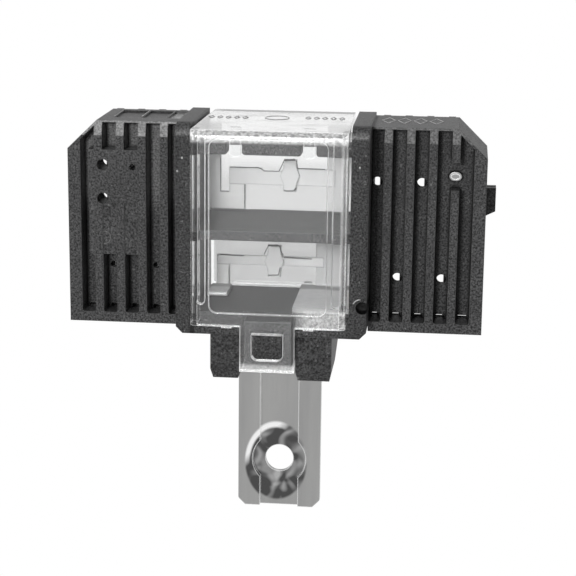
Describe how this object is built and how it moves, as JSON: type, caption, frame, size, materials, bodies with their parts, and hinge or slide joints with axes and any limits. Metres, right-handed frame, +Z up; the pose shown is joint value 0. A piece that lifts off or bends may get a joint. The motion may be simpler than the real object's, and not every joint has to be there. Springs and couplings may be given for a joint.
{
  "type": "multi fuse block",
  "caption": "Bolt-on fuse block: ribbed black moulding, clear snap cover over two fusible links, hemmed bolt tab below and a cored wing on each side.",
  "frame": {"origin": "centre of the tab's bolt hole, in the middle of the tab's sheet", "axes": "+Y through the bolt hole towards the back, +Z up the block as it hangs in use, +X to the right seen from the front"},
  "size_m": [0.0779, 0.0281, 0.0775],
  "materials": {
    "housing": "fine spark-eroded grain, glass-filled nylon",
    "clear_cover": "clear polycarbonate, polished",
    "busbar": "tin-plated copper alloy, satin",
    "fuse_link": "tin-plated copper alloy, satin",
    "tin_pill": "pressed tin, dull",
    "wing_pin": "plain metal, satin"
  },
  "bodies": {
    "root": {"housing": "housing", "clear_cover": "clear_cover", "main_busbar": "busbar", "upper_output_plate": "busbar", "lower_output_plate": "busbar", "upper_fuse_link": "fuse_link", "lower_fuse_link": "fuse_link", "upper_tin_pill": "tin_pill", "lower_tin_pill": "tin_pill", "wing_pin": "wing_pin"}
  },
  "joints": []
}
